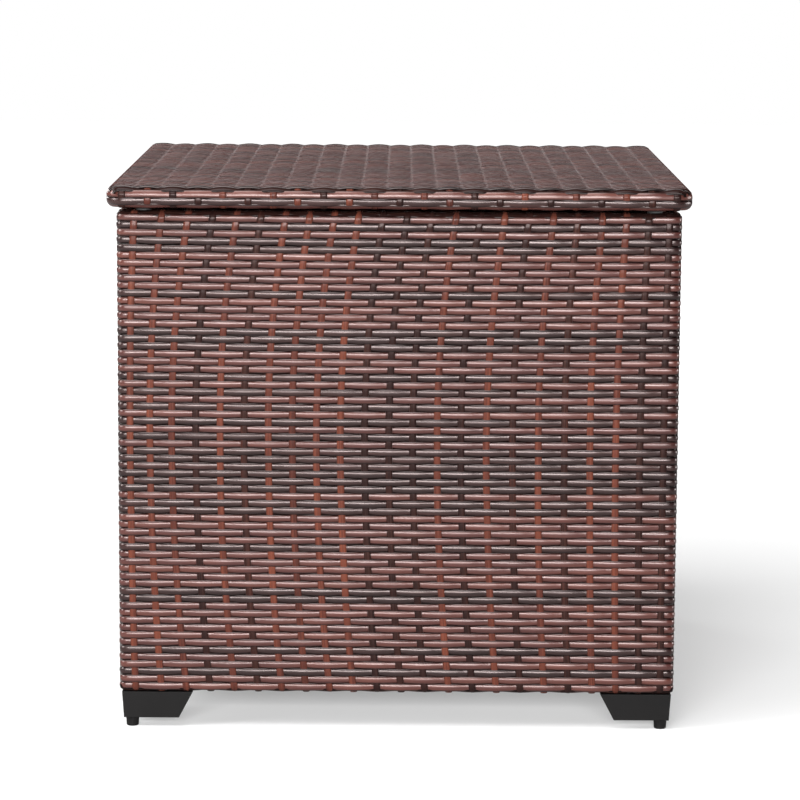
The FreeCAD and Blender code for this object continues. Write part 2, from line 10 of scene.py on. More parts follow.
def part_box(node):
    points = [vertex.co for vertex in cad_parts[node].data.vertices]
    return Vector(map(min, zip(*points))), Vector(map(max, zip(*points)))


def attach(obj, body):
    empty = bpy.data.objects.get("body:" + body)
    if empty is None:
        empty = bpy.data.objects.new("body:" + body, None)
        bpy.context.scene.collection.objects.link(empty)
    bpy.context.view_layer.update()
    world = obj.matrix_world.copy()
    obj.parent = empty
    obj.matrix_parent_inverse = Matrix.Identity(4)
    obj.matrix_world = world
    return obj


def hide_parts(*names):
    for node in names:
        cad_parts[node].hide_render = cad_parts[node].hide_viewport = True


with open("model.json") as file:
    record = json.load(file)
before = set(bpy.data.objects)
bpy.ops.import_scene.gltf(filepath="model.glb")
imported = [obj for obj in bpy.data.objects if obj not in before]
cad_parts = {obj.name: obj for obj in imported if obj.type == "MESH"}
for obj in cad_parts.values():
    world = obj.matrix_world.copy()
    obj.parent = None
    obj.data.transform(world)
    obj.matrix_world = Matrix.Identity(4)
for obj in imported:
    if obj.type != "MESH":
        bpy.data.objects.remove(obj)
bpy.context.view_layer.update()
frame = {"nodes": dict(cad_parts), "record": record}

MM = 0.001

# Strand and weave
STRAND_WIDTH = 8.05 * MM
STAKE_WIDTH = 7.6 * MM
STRAND_THICKNESS = 2.8 * MM
STRAND_EDGE = 0.30               # thickness of a strand at its edge, as a share of the whole
WEAVE_DEPTH = 1.5 * MM           # middle of the weave below the outer face of its CAD solid
WEFT_SWING = 1.15 * MM           # how far a row swings in front of and behind the stakes
EDGE_SWING = WEFT_SWING / 2      # of the rows along a panel's top and bottom edge
STAKE_SWING = 0.2 * MM
LIP = 20 * MM                    # how far strand returns over the inner face of a tube
PAINTED_SHADE_OF_ROW = 2.0                 # how near the painted shade on a strand's edges reaches to the middle of a row,
PAINTED_SHADE_OF_STAKE = 1.5               # and of a stake
SEED_REACH = 40                  # range of the strands' seeds
TUCK = 5 * MM                    # how far an edge row's end is pushed down at a corner
TUCK_ROUND = 8 * MM
ROW_STEP = 4.6 * MM              # spacing of the points along a row

# Body panels
ROW = 7.778 * MM
BODY_ROWS = 64
FIRST_ROW = 8.3 * MM             # middle of the first row below the panel's top
EDGE_ROWS = 3                    # rows on the top and bottom edges of a panel
BODY_ROUND = 13 * MM             # length over which a strand bends round a panel's edge
BODY_STAKES = 23
BODY_STAKE_EDGE = 16.0 * MM      # outermost stake in from the panel's end
SIDE_STAKES = 21
SIDE_STAKE_EDGE = 14.0 * MM
LEAN_TOP = 8.9 * MM              # how far the weaver pushed the stakes aside: at the top,
LEAN_MIDDLE = -9.6 * MM          # at mid height
LEAN_BOTTOM = 4.9 * MM           # and at the bottom
LEAN_TURN = 0.45                 # where the middle one lies, as a share of the way down
LEAN_RIGHT = 11 * MM             # how much less the stakes lean at mid height on the right,
LEAN_RIGHT_FROM = 80 * MM        # from here
LEAN_RIGHT_OVER = 150 * MM       # and in full beyond this distance from there
LEAN_FADE = 55 * MM              # distance from a panel's end over which the lean dies down
ROW_RISE = 1.6 * MM              # how far the rows climb towards the ends of a panel
EDGE_SINK = 0.9 * MM             # how far the rows on a panel's edge lie below its middle line
TOP_KNUCKLE = 4.0                # how many times prouder a stake stands where it passes over rows 0 and 1
END_SWING = 0.3                  # share of the swing that is left on a panel's end face

# Lid
LID_STAKES = 23
LID_STAKE_EDGE = 17.4 * MM
LID_ROW = 7.74 * MM
LID_FIRST_ROW = 7.0 * MM         # middle of the lower front row above the lid's underside
LID_ROUND = 16 * MM
LID_CORNER = 20 * MM
LID_TURN = 20 * MM               # how far an edge row runs on past the lid's corner
LID_SWING = 1.5 * MM
LID_STAKE_SWING = 0.6 * MM
LID_SINK = 0.9 * MM              # how far the stakes lie below the rows on the lid's top
RIM_ROW = 2                      # the edge row that borders on the top: shifted and wider than the rest
RIM_SHIFT = 0.6 * MM
RIM_SINK = 1.0 * MM              # how far the top's rows draw in where they turn down to it
RIM_WIDTH = 1.1

SEED = 7

# Share of red for each colour letter: dark and reddish
TONES = {"d": 0.12, "r": 0.74}
RED_SHARE = 0.6                  # how many of the strands are reddish where they are drawn at random

# Colours of the lid's first rows, from under its front edge: the upper row on its face is reddish
LID_FRONT_ROWS = "rdrddd"

# Colours of a row and of a stake, from a share of no red to a share of 1
ROW_COLORS = ((0.0, (0.013, 0.006, 0.006)), (0.28, (0.024, 0.010, 0.009)),
              (0.62, (0.053, 0.018, 0.016)), (1.0, (0.086, 0.029, 0.022)))
STAKE_COLORS = ((0.0, (0.013, 0.0055, 0.005)), (0.28, (0.024, 0.009, 0.007)),
                (0.62, (0.056, 0.0165, 0.012)), (1.0, (0.114, 0.032, 0.019)))

# Studio: brightness of the room as the table sees it, and each light's place, target, width, height
# and power in watts
ROOM = 0.06
LIGHTS = (
    ("key", (-0.25, -4.2, 1.3), (0, 0, 0.3), 3.0, 0.75, 285.0),
    ("top", (-0.6, -1.3, 3.4), (0, 0, 0.3), 2.4, 2.4, 125.0),
    ("left", (-3.4, -1.2, 1.9), (0, 0, 0.3), 1.8, 1.8, 170.0),
    ("right", (4.4, 0.3, 0.5), (0, 0, 0.35), 2.0, 0.8, 85.0),
    ("rear", (-3.2, 3.4, 1.4), (0, 0, 0.3), 2.2, 1.2, 65.0),
    ("back", (0.0, 4.2, 1.9), (0, 0, 0.5), 2.6, 1.2, 16.0),
)
FLOOR = 9.0                      # half the floor's side
FLOOR_GLOW = (("From Min", 0.4), ("From Max", 3.0), ("To Min", 0.34), ("To Max", 1.0))

# Camera: its place, its focal length in millimetres, and how far it looks down, turns to the right and
# rolls, in radians
CAMERA_PLACE = (0.0043, -3.5797, 0.8579)
CAMERA_LENS = 145.33
CAMERA_PITCH = 0.1535
CAMERA_YAW = -0.00075
CAMERA_ROLL = 0.0061


def corners(node):
    low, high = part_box(node)
    return np.array(low), np.array(high)


# ---------------------------------------------------------------- strands

def strand_section(fullness):
    """A domed strip: half-width and height of each point round it, in units of width and thickness."""
    angles = np.linspace(0, math.pi, 9)
    heights = STRAND_EDGE + (1 - STRAND_EDGE) * np.abs(np.sin(angles)) ** fullness
    dome = np.column_stack([0.5 * np.cos(angles), heights])
    underside = [(-0.42, 0.0), (0.42, 0.0)]
    points = np.concatenate([dome, underside])
    points[:, 1] -= 0.5
    return points


ROUND = strand_section(1.0)      # rows
FLAT = strand_section(0.4)       # stakes


def unit(v):
    return v / np.maximum(np.linalg.norm(v, axis=-1, keepdims=True), 1e-12)


def eased(points, lengths, along, window):
    """Points at given lengths along a polyline, each a mean over a window, which rounds its corners."""
    samples = 13
    shifts = np.linspace(-0.5, 0.5, samples) * window
    weights = np.ones(samples)
    weights[[0, -1]] = 0.5
    total = np.zeros((len(along), points.shape[1]))
    for shift, weight in zip(shifts, weights):
        at = np.clip(along + shift, 0, lengths[-1])
        here = [np.interp(at, lengths, points[:, k]) for k in range(points.shape[1])]
        total += weight * np.stack(here, axis=1)
    return total / weights.sum()


class Outline:
    """A plane line with rounded corners, which has its outer side on the left."""

    def __init__(self, points, window):
        self.points = np.array(points, float)
        steps = np.linalg.norm(np.diff(self.points, axis=0), axis=1)
        self.lengths = np.concatenate([[0], np.cumsum(steps)])
        self.window = window

    def at(self, along):
        """Place, direction and outward direction at each length."""
        along = np.atleast_1d(along)
        step = 0.2 * MM
        here = eased(self.points, self.lengths, along, self.window)
        ahead = eased(self.points, self.lengths, along + step, self.window)
        behind = eased(self.points, self.lengths, along - step, self.window)
        forward = unit(ahead - behind)
        return here, forward, np.column_stack([-forward[:, 1], forward[:, 0]])

    def steps(self, size):
        return np.linspace(0, self.lengths[-1], int(self.lengths[-1] / size) + 1)


def wave(along, crossings, signs, swing):
    """How far a strand stands off the middle of the weave: smooth between its crossings."""
    order = np.argsort(crossings)
    at = np.asarray(crossings)[order]
    sign = np.asarray(signs, float)[order]
    gap = np.median(np.diff(at))
    at = np.concatenate([[at[0] - gap], at, [at[-1] + gap]])
    sign = np.concatenate([[0], sign, [0]])
    index = np.clip(np.searchsorted(at, along) - 1, 0, len(at) - 2)
    t = np.clip((along - at[index]) / (at[index + 1] - at[index]), 0, 1)
    ease = 0.5 - 0.5 * np.cos(math.pi * t)
    return swing * (sign[index] * (1 - ease) + sign[index + 1] * ease)


def drift(rng, along, size, reach):
    """A slow seeded wander along a strand."""
    count = max(4, int((along[-1] - along[0]) / reach) + 3)
    knots = rng.normal(0, size, count)
    at = np.linspace(along[0], along[-1], count)
    return np.interp(along, at, knots)


class Strand:
    """One strand as rings of points, which become a tube of quads closed at both ends."""

    def __init__(self, rings, along, tone, seed, flip, rim):
        self.rings = rings
        self.along = along
        self.tone = tone
        self.seed = seed
        self.flip = flip
        self.rim = rim
        self.count, self.sides = rings.shape[:2]

    def faces(self):
        """Point numbers of the quads, and of the two end caps."""
        k = self.sides
        i = np.arange(self.count - 1)[:, None] * k
        j = np.arange(k)[None, :]
        after = (j + 1) % k
        quads = np.stack([i + j, i + k + j, i + k + after, i + after], axis=-1)
        caps = np.stack([np.arange(k), (self.count - 1) * k + np.arange(k)[::-1]])
        if not self.flip:
            quads = quads[..., ::-1]
            caps = caps[:, ::-1]
        return quads.reshape(-1), caps.reshape(-1)

    def uvs(self, number, total):
        """Texture places: the strand has its own band of the square, with a margin all round."""
        k = self.sides
        u = 0.002 + 0.996 * self.along / self.along[-1]
        v = (number + 0.04 + 0.92 * np.arange(k + 1) / k) / total
        shape = (self.count - 1, k, 4)
        quad_u = np.broadcast_to(np.stack([u[:-1], u[1:], u[1:], u[:-1]], axis=-1)[:, None], shape)
        quad_v = np.broadcast_to(np.stack([v[:-1], v[:-1], v[1:], v[1:]], axis=-1)[None], shape)
        quads = np.stack([quad_u, quad_v], axis=-1)
        start = np.column_stack([np.full(k, u[0]), v[:-1]])
        end = np.column_stack([np.full(k, u[-1]), v[-2::-1]])
        caps = np.stack([start, end])
        if not self.flip:
            quads = quads[:, :, ::-1]
            caps = caps[:, ::-1]
        return np.concatenate([quads.reshape(-1, 2), caps.reshape(-1, 2)])

    def looks(self):
        """For each point: length along the strand, place across it, scaled for the painted shade on the
        edges, and the strand's own seed.
        """
        across = np.tile(ROUND[:, 0] * self.rim, self.count)
        seeds = np.full(self.count * self.sides, self.seed)
        return np.column_stack([np.repeat(self.along, self.sides), across, seeds])

    def tones(self):
        return np.full(self.count * self.sides, self.tone)


class Weave:
    """Gathers strands into one mesh."""

    def __init__(self, rng):
        self.rng = rng
        self.strands = []

    def add(self, place, side, out, tone, width, section=ROUND):
        """One strand through place, with its width along side and its domed face towards out."""
        forward = unit(np.gradient(place, axis=0))
        side = unit(side - forward * np.sum(side * forward, axis=1, keepdims=True))
        face = np.cross(forward, side)
        face *= np.sign(np.sum(face * out, axis=1, keepdims=True))
        along = np.concatenate([[0], np.cumsum(np.linalg.norm(np.diff(place, axis=0), axis=1))])
        across = section[None, :, 0] * np.broadcast_to(width, len(place))[:, None]
        raised = section[:, 1] * STRAND_THICKNESS
        rings = place[:, None] + side[:, None] * across[:, :, None] + face[:, None] * raised[None, :, None]
        flip = np.sum(np.cross(forward[0], side[0]) * face[0]) < 0
        rim = PAINTED_SHADE_OF_ROW if section is ROUND else PAINTED_SHADE_OF_STAKE
        self.strands.append(Strand(rings, along, tone, self.rng.uniform(0, SEED_REACH), flip, rim))

    def mesh(self, name):
        """The strands as one mesh, with the UV map and the two attributes that the material reads."""
        loops, sizes, uvs = [], [], []
        base = 0
        for number, strand in enumerate(self.strands):
            quads, caps = strand.faces()
            loops += [base + quads, base + caps]
            sizes += [np.full(len(quads) // 4, 4), np.full(2, strand.sides)]
            uvs.append(strand.uvs(number, len(self.strands)))
            base += strand.count * strand.sides
        points = np.concatenate([strand.rings.reshape(-1, 3) for strand in self.strands])
        looks = np.concatenate([strand.looks() for strand in self.strands])
        tones = np.concatenate([strand.tones() for strand in self.strands])
        loops = np.concatenate(loops).astype(np.int32)
        sizes = np.concatenate(sizes).astype(np.int32)
        starts = np.concatenate([[0], np.cumsum(sizes)[:-1]]).astype(np.int32)
        mesh = bpy.data.meshes.new(name)
        mesh.vertices.add(len(points))
        mesh.vertices.foreach_set("co", points.reshape(-1))
        mesh.loops.add(len(loops))
        mesh.loops.foreach_set("vertex_index", loops)
        mesh.polygons.add(len(sizes))
        mesh.polygons.foreach_set("loop_start", starts)
        mesh.polygons.foreach_set("use_smooth", sizes == 4)
        mesh.update(calc_edges=True)
        layer = mesh.uv_layers.new(name="OFBake")
        layer.uv.foreach_set("vector", np.concatenate(uvs).reshape(-1))
        strand_data = mesh.attributes.new("strand", "FLOAT_VECTOR", "POINT")
        strand_data.data.foreach_set("vector", looks.reshape(-1))
        tone_data = mesh.attributes.new("tone", "FLOAT", "POINT")
        tone_data.data.foreach_set("value", tones)
        mesh.validate()
        mesh.set_sharp_from_angle(angle=math.radians(52))
        return mesh

    def build(self, name, body, nodes, material):
        """Makes the object, which rides on a body and replaces the CAD nodes given."""
        mesh = self.mesh(name)
        mesh.materials.append(material)
        piece = bpy.data.objects.new(name, mesh)
        bpy.context.scene.collection.objects.link(piece)
        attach(piece, body)
        if nodes:
            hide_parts(*nodes)


def tone_of(letter, rng):
    """The share of red in a strand."""
    return float(np.clip(TONES[letter] + rng.normal(0, 0.07), 0, 1))


def tone_run(rng, count):
    """Letters for a run of strands, in the order in which they come from the bundle."""
    return "".join("r" if rng.random_sample() < RED_SHARE else "d" for _ in range(count))


# ---------------------------------------------------------------- panels

class Panel:
    """One woven panel, drawn as the front one and turned to its own side.

    x runs along the panel, z up, and the outer face looks towards -y.
    """

    def __init__(self, name, length, turn, inset, row_tones, stake_tones, pull, seed):
        self.name = name
        self.rng = np.random.RandomState(seed)
        self.pull = pull
        self.half = length / 2
        self.turn = np.array(Matrix.Rotation(math.radians(turn), 3, "Z"))
        low, high = corners("front_weave")
        self.face = low[1] + WEAVE_DEPTH
        self.back = high[1] - WEAVE_DEPTH
        self.low = low[2] + WEAVE_DEPTH
        self.high = high[2] - WEAVE_DEPTH
        self.depth = self.back - self.face
        f, b = self.face, self.back
        self.section = Outline([(b, self.low + LIP), (b, self.low), (f, self.low),
                                (f, self.high), (b, self.high), (b, self.high - LIP)], BODY_ROUND)
        self.row_tones = row_tones
        self.stake_tones = stake_tones
        self.numbers = range(-EDGE_ROWS, len(row_tones) + EDGE_ROWS)
        self.rows = {k: high[2] - FIRST_ROW - ROW * k for k in self.numbers}
        self.lengths = {k: LIP + self.depth + z - self.low for k, z in self.rows.items()}
        last = len(stake_tones) - 1
        self.stakes = -self.half + inset + np.arange(last + 1) * (2 * (self.half - inset) / last)
        self.end = self.half - WEAVE_DEPTH

    def down(self, z):
        """How far down the panel a height lies, from 0 at the top to 1 at the bottom."""
        return np.clip((self.high - z) / (self.high - self.low), 0, 1)

    def lean(self, x, z):
        """How far the stake at x stands aside at height z: least of all near the panel's ends."""
        t = self.down(z)
        middle = LEAN_MIDDLE + LEAN_RIGHT * np.clip((x - LEAN_RIGHT_FROM) / LEAN_RIGHT_OVER, 0, 1)
        upper = middle + (LEAN_TOP - middle) * np.clip(1 - t / LEAN_TURN, 0, 1) ** 2
        aside = upper + (LEAN_BOTTOM - middle) * np.clip((t - LEAN_TURN) / (1 - LEAN_TURN), 0, 1) ** 2
        return self.pull * aside * np.clip((self.half - np.abs(x)) / LEAN_FADE, 0.25, 1)

    def rise(self, x, z):
        """How far a row at height z climbs at x: most of all at the top."""
        return ROW_RISE * np.clip(x / self.half, -1, 1) ** 2 * (1 - 0.9 * self.down(z))

    def signs(self, number):
        """1 where a row passes in front of a stake, -1 where it passes behind."""
        return [1.0 if (i + number) % 2 == 0 else -1.0 for i in range(len(self.stakes))]

    def add(self, weave, place, side, out, tone, width, section=ROUND):
        turn = self.turn.T
        weave.add(place @ turn, side @ turn, out @ turn, tone, width, section)

    def face_row(self, weave, number, tone, wrap_stake):
        """A row: from the inner face round one end, across the front and round the other."""
        z = self.rows[number]
        inset = self.section.at(self.lengths[number])[0][0, 0] - self.face
        e, f, b = self.end, self.face, self.back
        plan = Outline([(e - LIP, b), (e, b), (e, f), (-e, f), (-e, b), (-e + LIP, b)], BODY_ROUND)
        along = plan.steps(ROW_STEP)
        flat, _, out = plan.at(along)
        first = LIP + self.depth
        x = self.stakes + self.lean(self.stakes, z)
        crossings = list(first + e - x)
        signs = self.signs(number)
        if wrap_stake:
            crossings += [LIP + self.depth / 2, first + 2 * e + self.depth / 2]
            signs += [-END_SWING * signs[-1], -END_SWING * signs[0]]
        flat = flat + out * wave(along, crossings, signs, WEFT_SWING)[:, None]
        flat[:, 1] += inset
        height = z + self.rise(flat[:, 0], z) + drift(self.rng, along, 0.16 * MM, 60 * MM)
        height = height + self.rng.normal(0, 0.1 * MM)
        place = np.column_stack([flat, height])
        out = np.column_stack([out, np.zeros(len(flat))])
        side = np.tile([0.0, 0.0, 1.0], (len(flat), 1))
        self.add(weave, place, side, out, tone, STRAND_WIDTH * (1 + self.rng.normal(0, 0.012)))

    def edge_row(self, weave, number, tone):
        """A row along the top or bottom edge, its ends tucked in at the corners."""
        here, forward, normal = (v[0] for v in self.section.at(self.lengths[number]))
        e = self.end
        line = Outline([(-e, -TUCK), (-e, 0), (e, 0), (e, -TUCK)], TUCK_ROUND)
        along = line.steps(ROW_STEP)
        flat, _, out = line.at(along)
        z = self.rows[number]
        crossings = TUCK + e + self.stakes + self.lean(self.stakes, z)
        stand = wave(along, crossings, self.signs(number), EDGE_SWING)
        off = flat[:, 1] + out[:, 1] * stand - EDGE_SINK
        across = flat[:, 0] + out[:, 0] * stand
        place = np.column_stack([across, here[0] + normal[0] * off, here[1] + normal[1] * off])
        out = np.column_stack([out[:, 0], normal[0] * out[:, 1], normal[1] * out[:, 1]])
        side = np.tile([0.0, forward[0], forward[1]], (len(flat), 1))
        self.add(weave, place, side, out, tone, STRAND_WIDTH)

    def stake(self, weave, index, x, tone):
        """An upright: from the inner face under the bottom, up the front and over the top."""
        along = self.section.steps(ROW / 4)
        flat, _, normal = self.section.at(along)
        crossings = [self.lengths[k] for k in self.numbers]
        signs = [-self.signs(k)[index] for k in self.numbers]
        signs = [TOP_KNUCKLE if k in (0, 1) and sign > 0 else sign for k, sign in zip(self.numbers, signs)]
        flat = flat + normal * wave(along, crossings, signs, STAKE_SWING)[:, None]
        across = x + self.lean(x, flat[:, 1]) + drift(self.rng, along, 0.18 * MM, 90 * MM)
        place = np.column_stack([across, flat])
        out = np.column_stack([np.zeros(len(flat)), normal])
        side = np.tile([1.0, 0.0, 0.0], (len(flat), 1))
        self.add(weave, place, side, out, tone, STAKE_WIDTH, FLAT)

    def end_stake(self, weave, end, tone):
        """The upright on the narrow end face of a front or back panel."""
        x = end * self.end
        y = (self.face + self.back) / 2
        margin = 2 * MM
        z = np.arange(self.low + margin, self.high - margin, ROW / 4)
        index = 0 if end < 0 else -1
        inner = [k for k in self.numbers if 0 <= k < len(self.row_tones)]
        signs = [self.signs(k)[index] for k in inner]
        stand = wave(z, [self.rows[k] for k in inner], signs, STAKE_SWING)
        place = np.column_stack([x + end * stand, np.full(len(z), y), z])
        out = np.tile([float(end), 0.0, 0.0], (len(z), 1))
        side = np.tile([0.0, 1.0, 0.0], (len(z), 1))
        self.add(weave, place, side, out, tone, STAKE_WIDTH, FLAT)

    def make(self, row_material, stake_material, wrap_stake):
        rows = Weave(self.rng)
        stakes = Weave(self.rng)
        for number in self.numbers:
            if 0 <= number < len(self.row_tones):
                self.face_row(rows, number, tone_of(self.row_tones[number], self.rng), wrap_stake)
            else:
                self.edge_row(stakes, number, tone_of("d", self.rng))
        for index, x in enumerate(self.stakes):
            self.stake(stakes, index, x, tone_of(self.stake_tones[index], self.rng))
        if wrap_stake:
            for end in (-1, 1):
                self.end_stake(stakes, end, tone_of("d", self.rng))
        rows.build(self.name + "_rows", "base", [self.name + "_weave"], row_material)
        stakes.build(self.name + "_stakes", "base", [], stake_material)


def make_panels(row_material, stake_material):
    """The four panels: name, length, turn, outermost stake, number of stakes and pull of the lean."""
    rng = np.random.RandomState(SEED)
    front_rng = np.random.RandomState(SEED + 201)
    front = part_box("front_weave")
    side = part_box("left_weave")
    width = front[1].x - front[0].x
    depth = side[1].y - side[0].y
    plans = (
        ("front", width, 0, BODY_STAKE_EDGE, BODY_STAKES, 1.0),
        ("back", width, 180, BODY_STAKE_EDGE, BODY_STAKES, -0.6),
        ("right", depth, 90, SIDE_STAKE_EDGE, SIDE_STAKES, 0.5),
        ("left", depth, -90, SIDE_STAKE_EDGE, SIDE_STAKES, -0.7),
    )
    for number, (name, length, turn, inset, stakes, pull) in enumerate(plans):
        tone_rng = front_rng if name == "front" else rng
        row_tones = tone_run(tone_rng, BODY_ROWS)
        stake_tones = tone_run(tone_rng, stakes)
        panel = Panel(name, length, turn, inset, row_tones, stake_tones, pull, SEED + 11 * number)
        panel.make(row_material, stake_material, name in ("front", "back"))


# ---------------------------------------------------------------- lid

class Lid:
    """The lid's weave: rows from side to side, stakes from front to back."""

    def __init__(self):
        self.rng = np.random.RandomState(SEED + 101)
        low, high = corners("lid_weave")
        self.outer = high[0]
        self.edge = high[0] - WEAVE_DEPTH
        self.low = low[2] + WEAVE_DEPTH
        self.high = high[2] - WEAVE_DEPTH
        self.section = Outline(self.wrapped(self.edge), LID_ROUND)
        total = self.section.lengths[-1]
        first = LIP + LID_FIRST_ROW - WEAVE_DEPTH - LID_ROW
        self.count = int(round((total - 2 * first) / LID_ROW)) + 1
        self.rows = np.linspace(first, total - first, self.count)
        self.rows[RIM_ROW] += RIM_SHIFT
        self.rows[-1 - RIM_ROW] -= RIM_SHIFT
        half = self.outer - LID_STAKE_EDGE
        self.stakes = np.linspace(-half, half, LID_STAKES) + self.rng.normal(0, 0.4 * MM, LID_STAKES)

    def wrapped(self, e):
        """A section of the lid: from under one edge, over the top and under the other."""
        return [(-e + LIP, self.low), (-e, self.low), (-e, self.high),
                (e, self.high), (e, self.low), (e - LIP, self.low)]

    def signs(self, number):
        """1 where a row passes over a stake, -1 where it passes under."""
        return [1.0 if (i + number) % 2 else -1.0 for i in range(LID_STAKES)]

    def into(self, number):
        """How many rows a row lies in from the nearer long edge."""
        return min(number, self.count - 1 - number)

    def top_row(self, weave, number, tone):
        """A row over the top, which goes down both side edges and under, or is tucked in at a corner."""
        here, forward, normal = (v[0] for v in self.section.at(self.rows[number]))
        into = abs(here[0]) - (self.outer - LID_CORNER)
        edge = self.edge
        if into > 0:
            edge += math.sqrt(max(LID_CORNER ** 2 - into ** 2, 0)) - LID_CORNER
        fall = self.high - here[1]
        if into > 2 * MM:
            low, high = self.high - TUCK, self.high
            line = Outline([(-edge, low), (-edge, high), (edge, high), (edge, low)], TUCK_ROUND)
            first = TUCK
        else:
            line = Outline(self.wrapped(edge), LID_ROUND)
            first = LIP + self.high - self.low
        along = line.steps(ROW_STEP)
        flat, _, out = line.at(along)
        stand = wave(along, first + edge + self.stakes, self.signs(number), LID_SWING)
        stand = stand - abs(normal[0]) * RIM_SINK
        flat = flat + out * stand[:, None]
        place = np.column_stack([flat[:, 0], here[0] + normal[0] * stand, flat[:, 1] - fall])
        place[:, 1] += drift(self.rng, along, 0.18 * MM, 60 * MM)
        side = np.tile([0.0, forward[0], forward[1]], (len(flat), 1))
        face = np.column_stack([out[:, 0], np.full(len(flat), normal[0]), out[:, 1]])
        waist = 0.96
        width = STRAND_WIDTH * (waist + (1 - waist) * np.abs(stand) / LID_SWING)
        weave.add(place, side, face, tone, width)

    def face_row(self, weave, number, tone):
        """A row along the front or back edge, whose ends turn round the lid's corners."""
        here, _, normal = (v[0] for v in self.section.at(self.rows[number]))
        front = -1 if here[0] < 0 else 1
        e = self.edge
        window = 2.3 * (LID_CORNER - WEAVE_DEPTH)
        line = Outline([(e, -e + LID_TURN), (e, -e), (-e, -e), (-e, -e + LID_TURN)], window)
        along = line.steps(ROW_STEP)
        flat, _, out = line.at(along)
        crossings = LID_TURN + e - self.stakes
        swing = WEFT_SWING * (0.4 if self.into(number) == 0 else 1.0)
        stand = wave(along, crossings, self.signs(number), swing)
        flat = flat + out * (abs(normal[0]) * stand - (e - abs(here[0])))[:, None]
        place = np.column_stack([flat[:, 0], -front * flat[:, 1], here[1] + normal[1] * stand])
        out = out * [1, -front]
        side = np.column_stack([-out * normal[1], np.full(len(flat), abs(normal[0]))])
        face = np.column_stack([out * abs(normal[0]), np.full(len(flat), normal[1])])
        wide = RIM_WIDTH if self.into(number) == RIM_ROW else 1.0
        weave.add(place, side, face, tone, STRAND_WIDTH * wide)

    def stake(self, weave, index, x, tone):
        """A stake: from under the front edge, over the top and under the back edge."""
        along = self.section.steps(LID_ROW / 4)
        here, _, normal = self.section.at(along)
        signs = [-self.signs(k)[index] for k in range(self.count)]
        sunk = LID_SINK * np.clip(normal[:, 1] * 2 - 0.8, 0, 1)
        here = here + normal * (wave(along, self.rows, signs, LID_STAKE_SWING) - sunk)[:, None]
        place = np.column_stack([x + drift(self.rng, along, 0.25 * MM, 80 * MM), here])
        out = np.column_stack([np.zeros(len(along)), normal])
        side = np.tile([1.0, 0.0, 0.0], (len(along), 1))
        weave.add(place, side, out, tone, STAKE_WIDTH, FLAT)

    def make(self, row_material, stake_material):
        tones = LID_FRONT_ROWS + tone_run(self.rng, self.count - len(LID_FRONT_ROWS))
        top = Weave(self.rng)
        edges = Weave(self.rng)
        rim = Weave(self.rng)
        stakes = Weave(self.rng)
        for number in range(self.count):
            into = self.into(number)
            tone = tone_of(tones[number], self.rng)
            if into <= RIM_ROW:
                self.face_row(edges, number, tone)
            # Painted shade: the first two top rows, where the top rounds down to the front and back edges,
            # are darkened in colour, the outer one to a tenth of its tone and the next to three tenths.
            elif into == RIM_ROW + 1:
                self.top_row(rim, number, tone * 0.1)
            elif into == RIM_ROW + 2:
                self.top_row(top, number, tone * 0.3)
            else:
                self.top_row(top, number, tone * 0.5 + 0.40)
        tones = tone_run(np.random.RandomState(SEED + 202), LID_STAKES)
        for index, x in enumerate(self.stakes):
            self.stake(stakes, index, x, tone_of(tones[index], self.rng))
        top.build("lid_rows", "lid", ["lid_weave"], row_material)
        edges.build("lid_edge_rows", "lid", [], row_material)
        rim.build("lid_rim_rows_painted_shade", "lid", [], stake_material)
        stakes.build("lid_stakes", "lid", [], stake_material)


# ---------------------------------------------------------------- materials

def new_material(name):
    material = bpy.data.materials.new(name)
    material.use_nodes = True
    tree = material.node_tree
    return material, tree, tree.nodes["Principled BSDF"]


def node(tree, kind, **values):
    made = tree.nodes.new(kind)
    for key, value in values.items():
        setattr(made, key, value)
    return made


def math_node(tree, operation, a, b, clamp=False):
    made = node(tree, "ShaderNodeMath", operation=operation, use_clamp=clamp)
    for socket, value in zip(made.inputs, (a, b)):
        if isinstance(value, (int, float)):
            socket.default_value = value
        else:
            tree.links.new(value, socket)
    return made.outputs[0]


def noise(tree, vector, scale, detail=3.0, roughness=0.5):
    made = node(tree, "ShaderNodeTexNoise")
    made.inputs["Scale"].default_value = scale
    made.inputs["Detail"].default_value = detail
    made.inputs["Roughness"].default_value = roughness
    tree.links.new(vector, made.inputs["Vector"])
    return made.outputs["Fac"]


def stretched(tree, vector, scale):
    made = node(tree, "ShaderNodeMapping")
    made.inputs["Scale"].default_value = scale
    tree.links.new(vector, made.inputs["Vector"])
    return made.outputs["Vector"]


def ramp(tree, factor, stops):
    made = node(tree, "ShaderNodeValToRGB")
    elements = made.color_ramp.elements
    while len(elements) < len(stops):
        elements.new(0.5)
    for element, (place, color) in zip(elements, stops):
        element.position = place
        element.color = (*color, 1)
    tree.links.new(factor, made.inputs["Fac"])
    return made.outputs["Color"]


def bump(tree, height, strength, distance, normal=None):
    made = node(tree, "ShaderNodeBump")
    made.inputs["Strength"].default_value = strength
    made.inputs["Distance"].default_value = distance
    tree.links.new(height, made.inputs["Height"])
    if normal is not None:
        tree.links.new(normal, made.inputs["Normal"])
    return made.outputs["Normal"]


def mix_color(tree, factor, a, b, blend="MIX"):
    made = node(tree, "ShaderNodeMix", data_type="RGBA", blend_type=blend)
    for socket, value in ((made.inputs[0], factor), (made.inputs[6], a), (made.inputs[7], b)):
        if isinstance(value, (int, float)):
            socket.default_value = value
        elif isinstance(value, tuple):
            socket.default_value = (*value, 1)
        else:
            tree.links.new(value, socket)
    return made.outputs[2]


